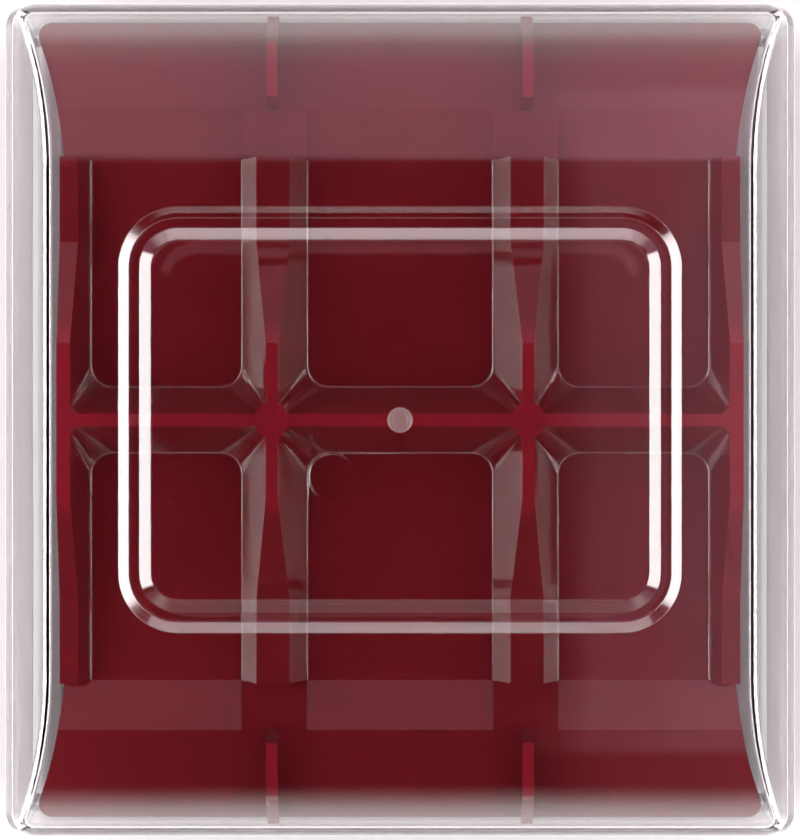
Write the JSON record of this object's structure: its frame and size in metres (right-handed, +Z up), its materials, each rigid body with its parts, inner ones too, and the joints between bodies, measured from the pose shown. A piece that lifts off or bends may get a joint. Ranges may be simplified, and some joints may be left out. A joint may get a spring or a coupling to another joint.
{
  "type": "ink pad",
  "caption": "Square ink pad in a clear arched case: the lid carries a ribbed wine-red insert and lifts off a clear base that holds a cloth-covered felt pad in a tray.",
  "frame": {"origin": "centre of the case's outline, on the surface that the foot ring stands on", "axes": "+X across the case to the right, +Y to the back, +Z up, the way the lid lifts"},
  "size_m": [0.089, 0.0936, 0.0225],
  "materials": {
    "clear_styrene": "clear polished polystyrene",
    "wine_plastic": "glossy wine-red moulded polystyrene",
    "adhesive_film": "thin double-sided film",
    "white_board": "satin styrene board",
    "foam": "fine open-cell foam",
    "felt": "dense wool felt soaked with ink",
    "inked_cloth": "fine woven cotton soaked with ink"
  },
  "bodies": {
    "base": {"base_shell": "clear_styrene", "tray_film": "adhesive_film", "pad_tray": "wine_plastic", "board_film": "adhesive_film", "pad_board": "white_board", "pad_foam": "foam", "ink_felt": "felt", "ink_cloth": "inked_cloth"},
    "lid": {"lid_shell": "clear_styrene", "lid_insert": "wine_plastic"}
  },
  "joints": [
    {"name": "lid_lift", "type": "slide", "parent": "base", "child": "lid", "axis": [0, 0, 1], "range_m": [0, 0.04]}
  ]
}
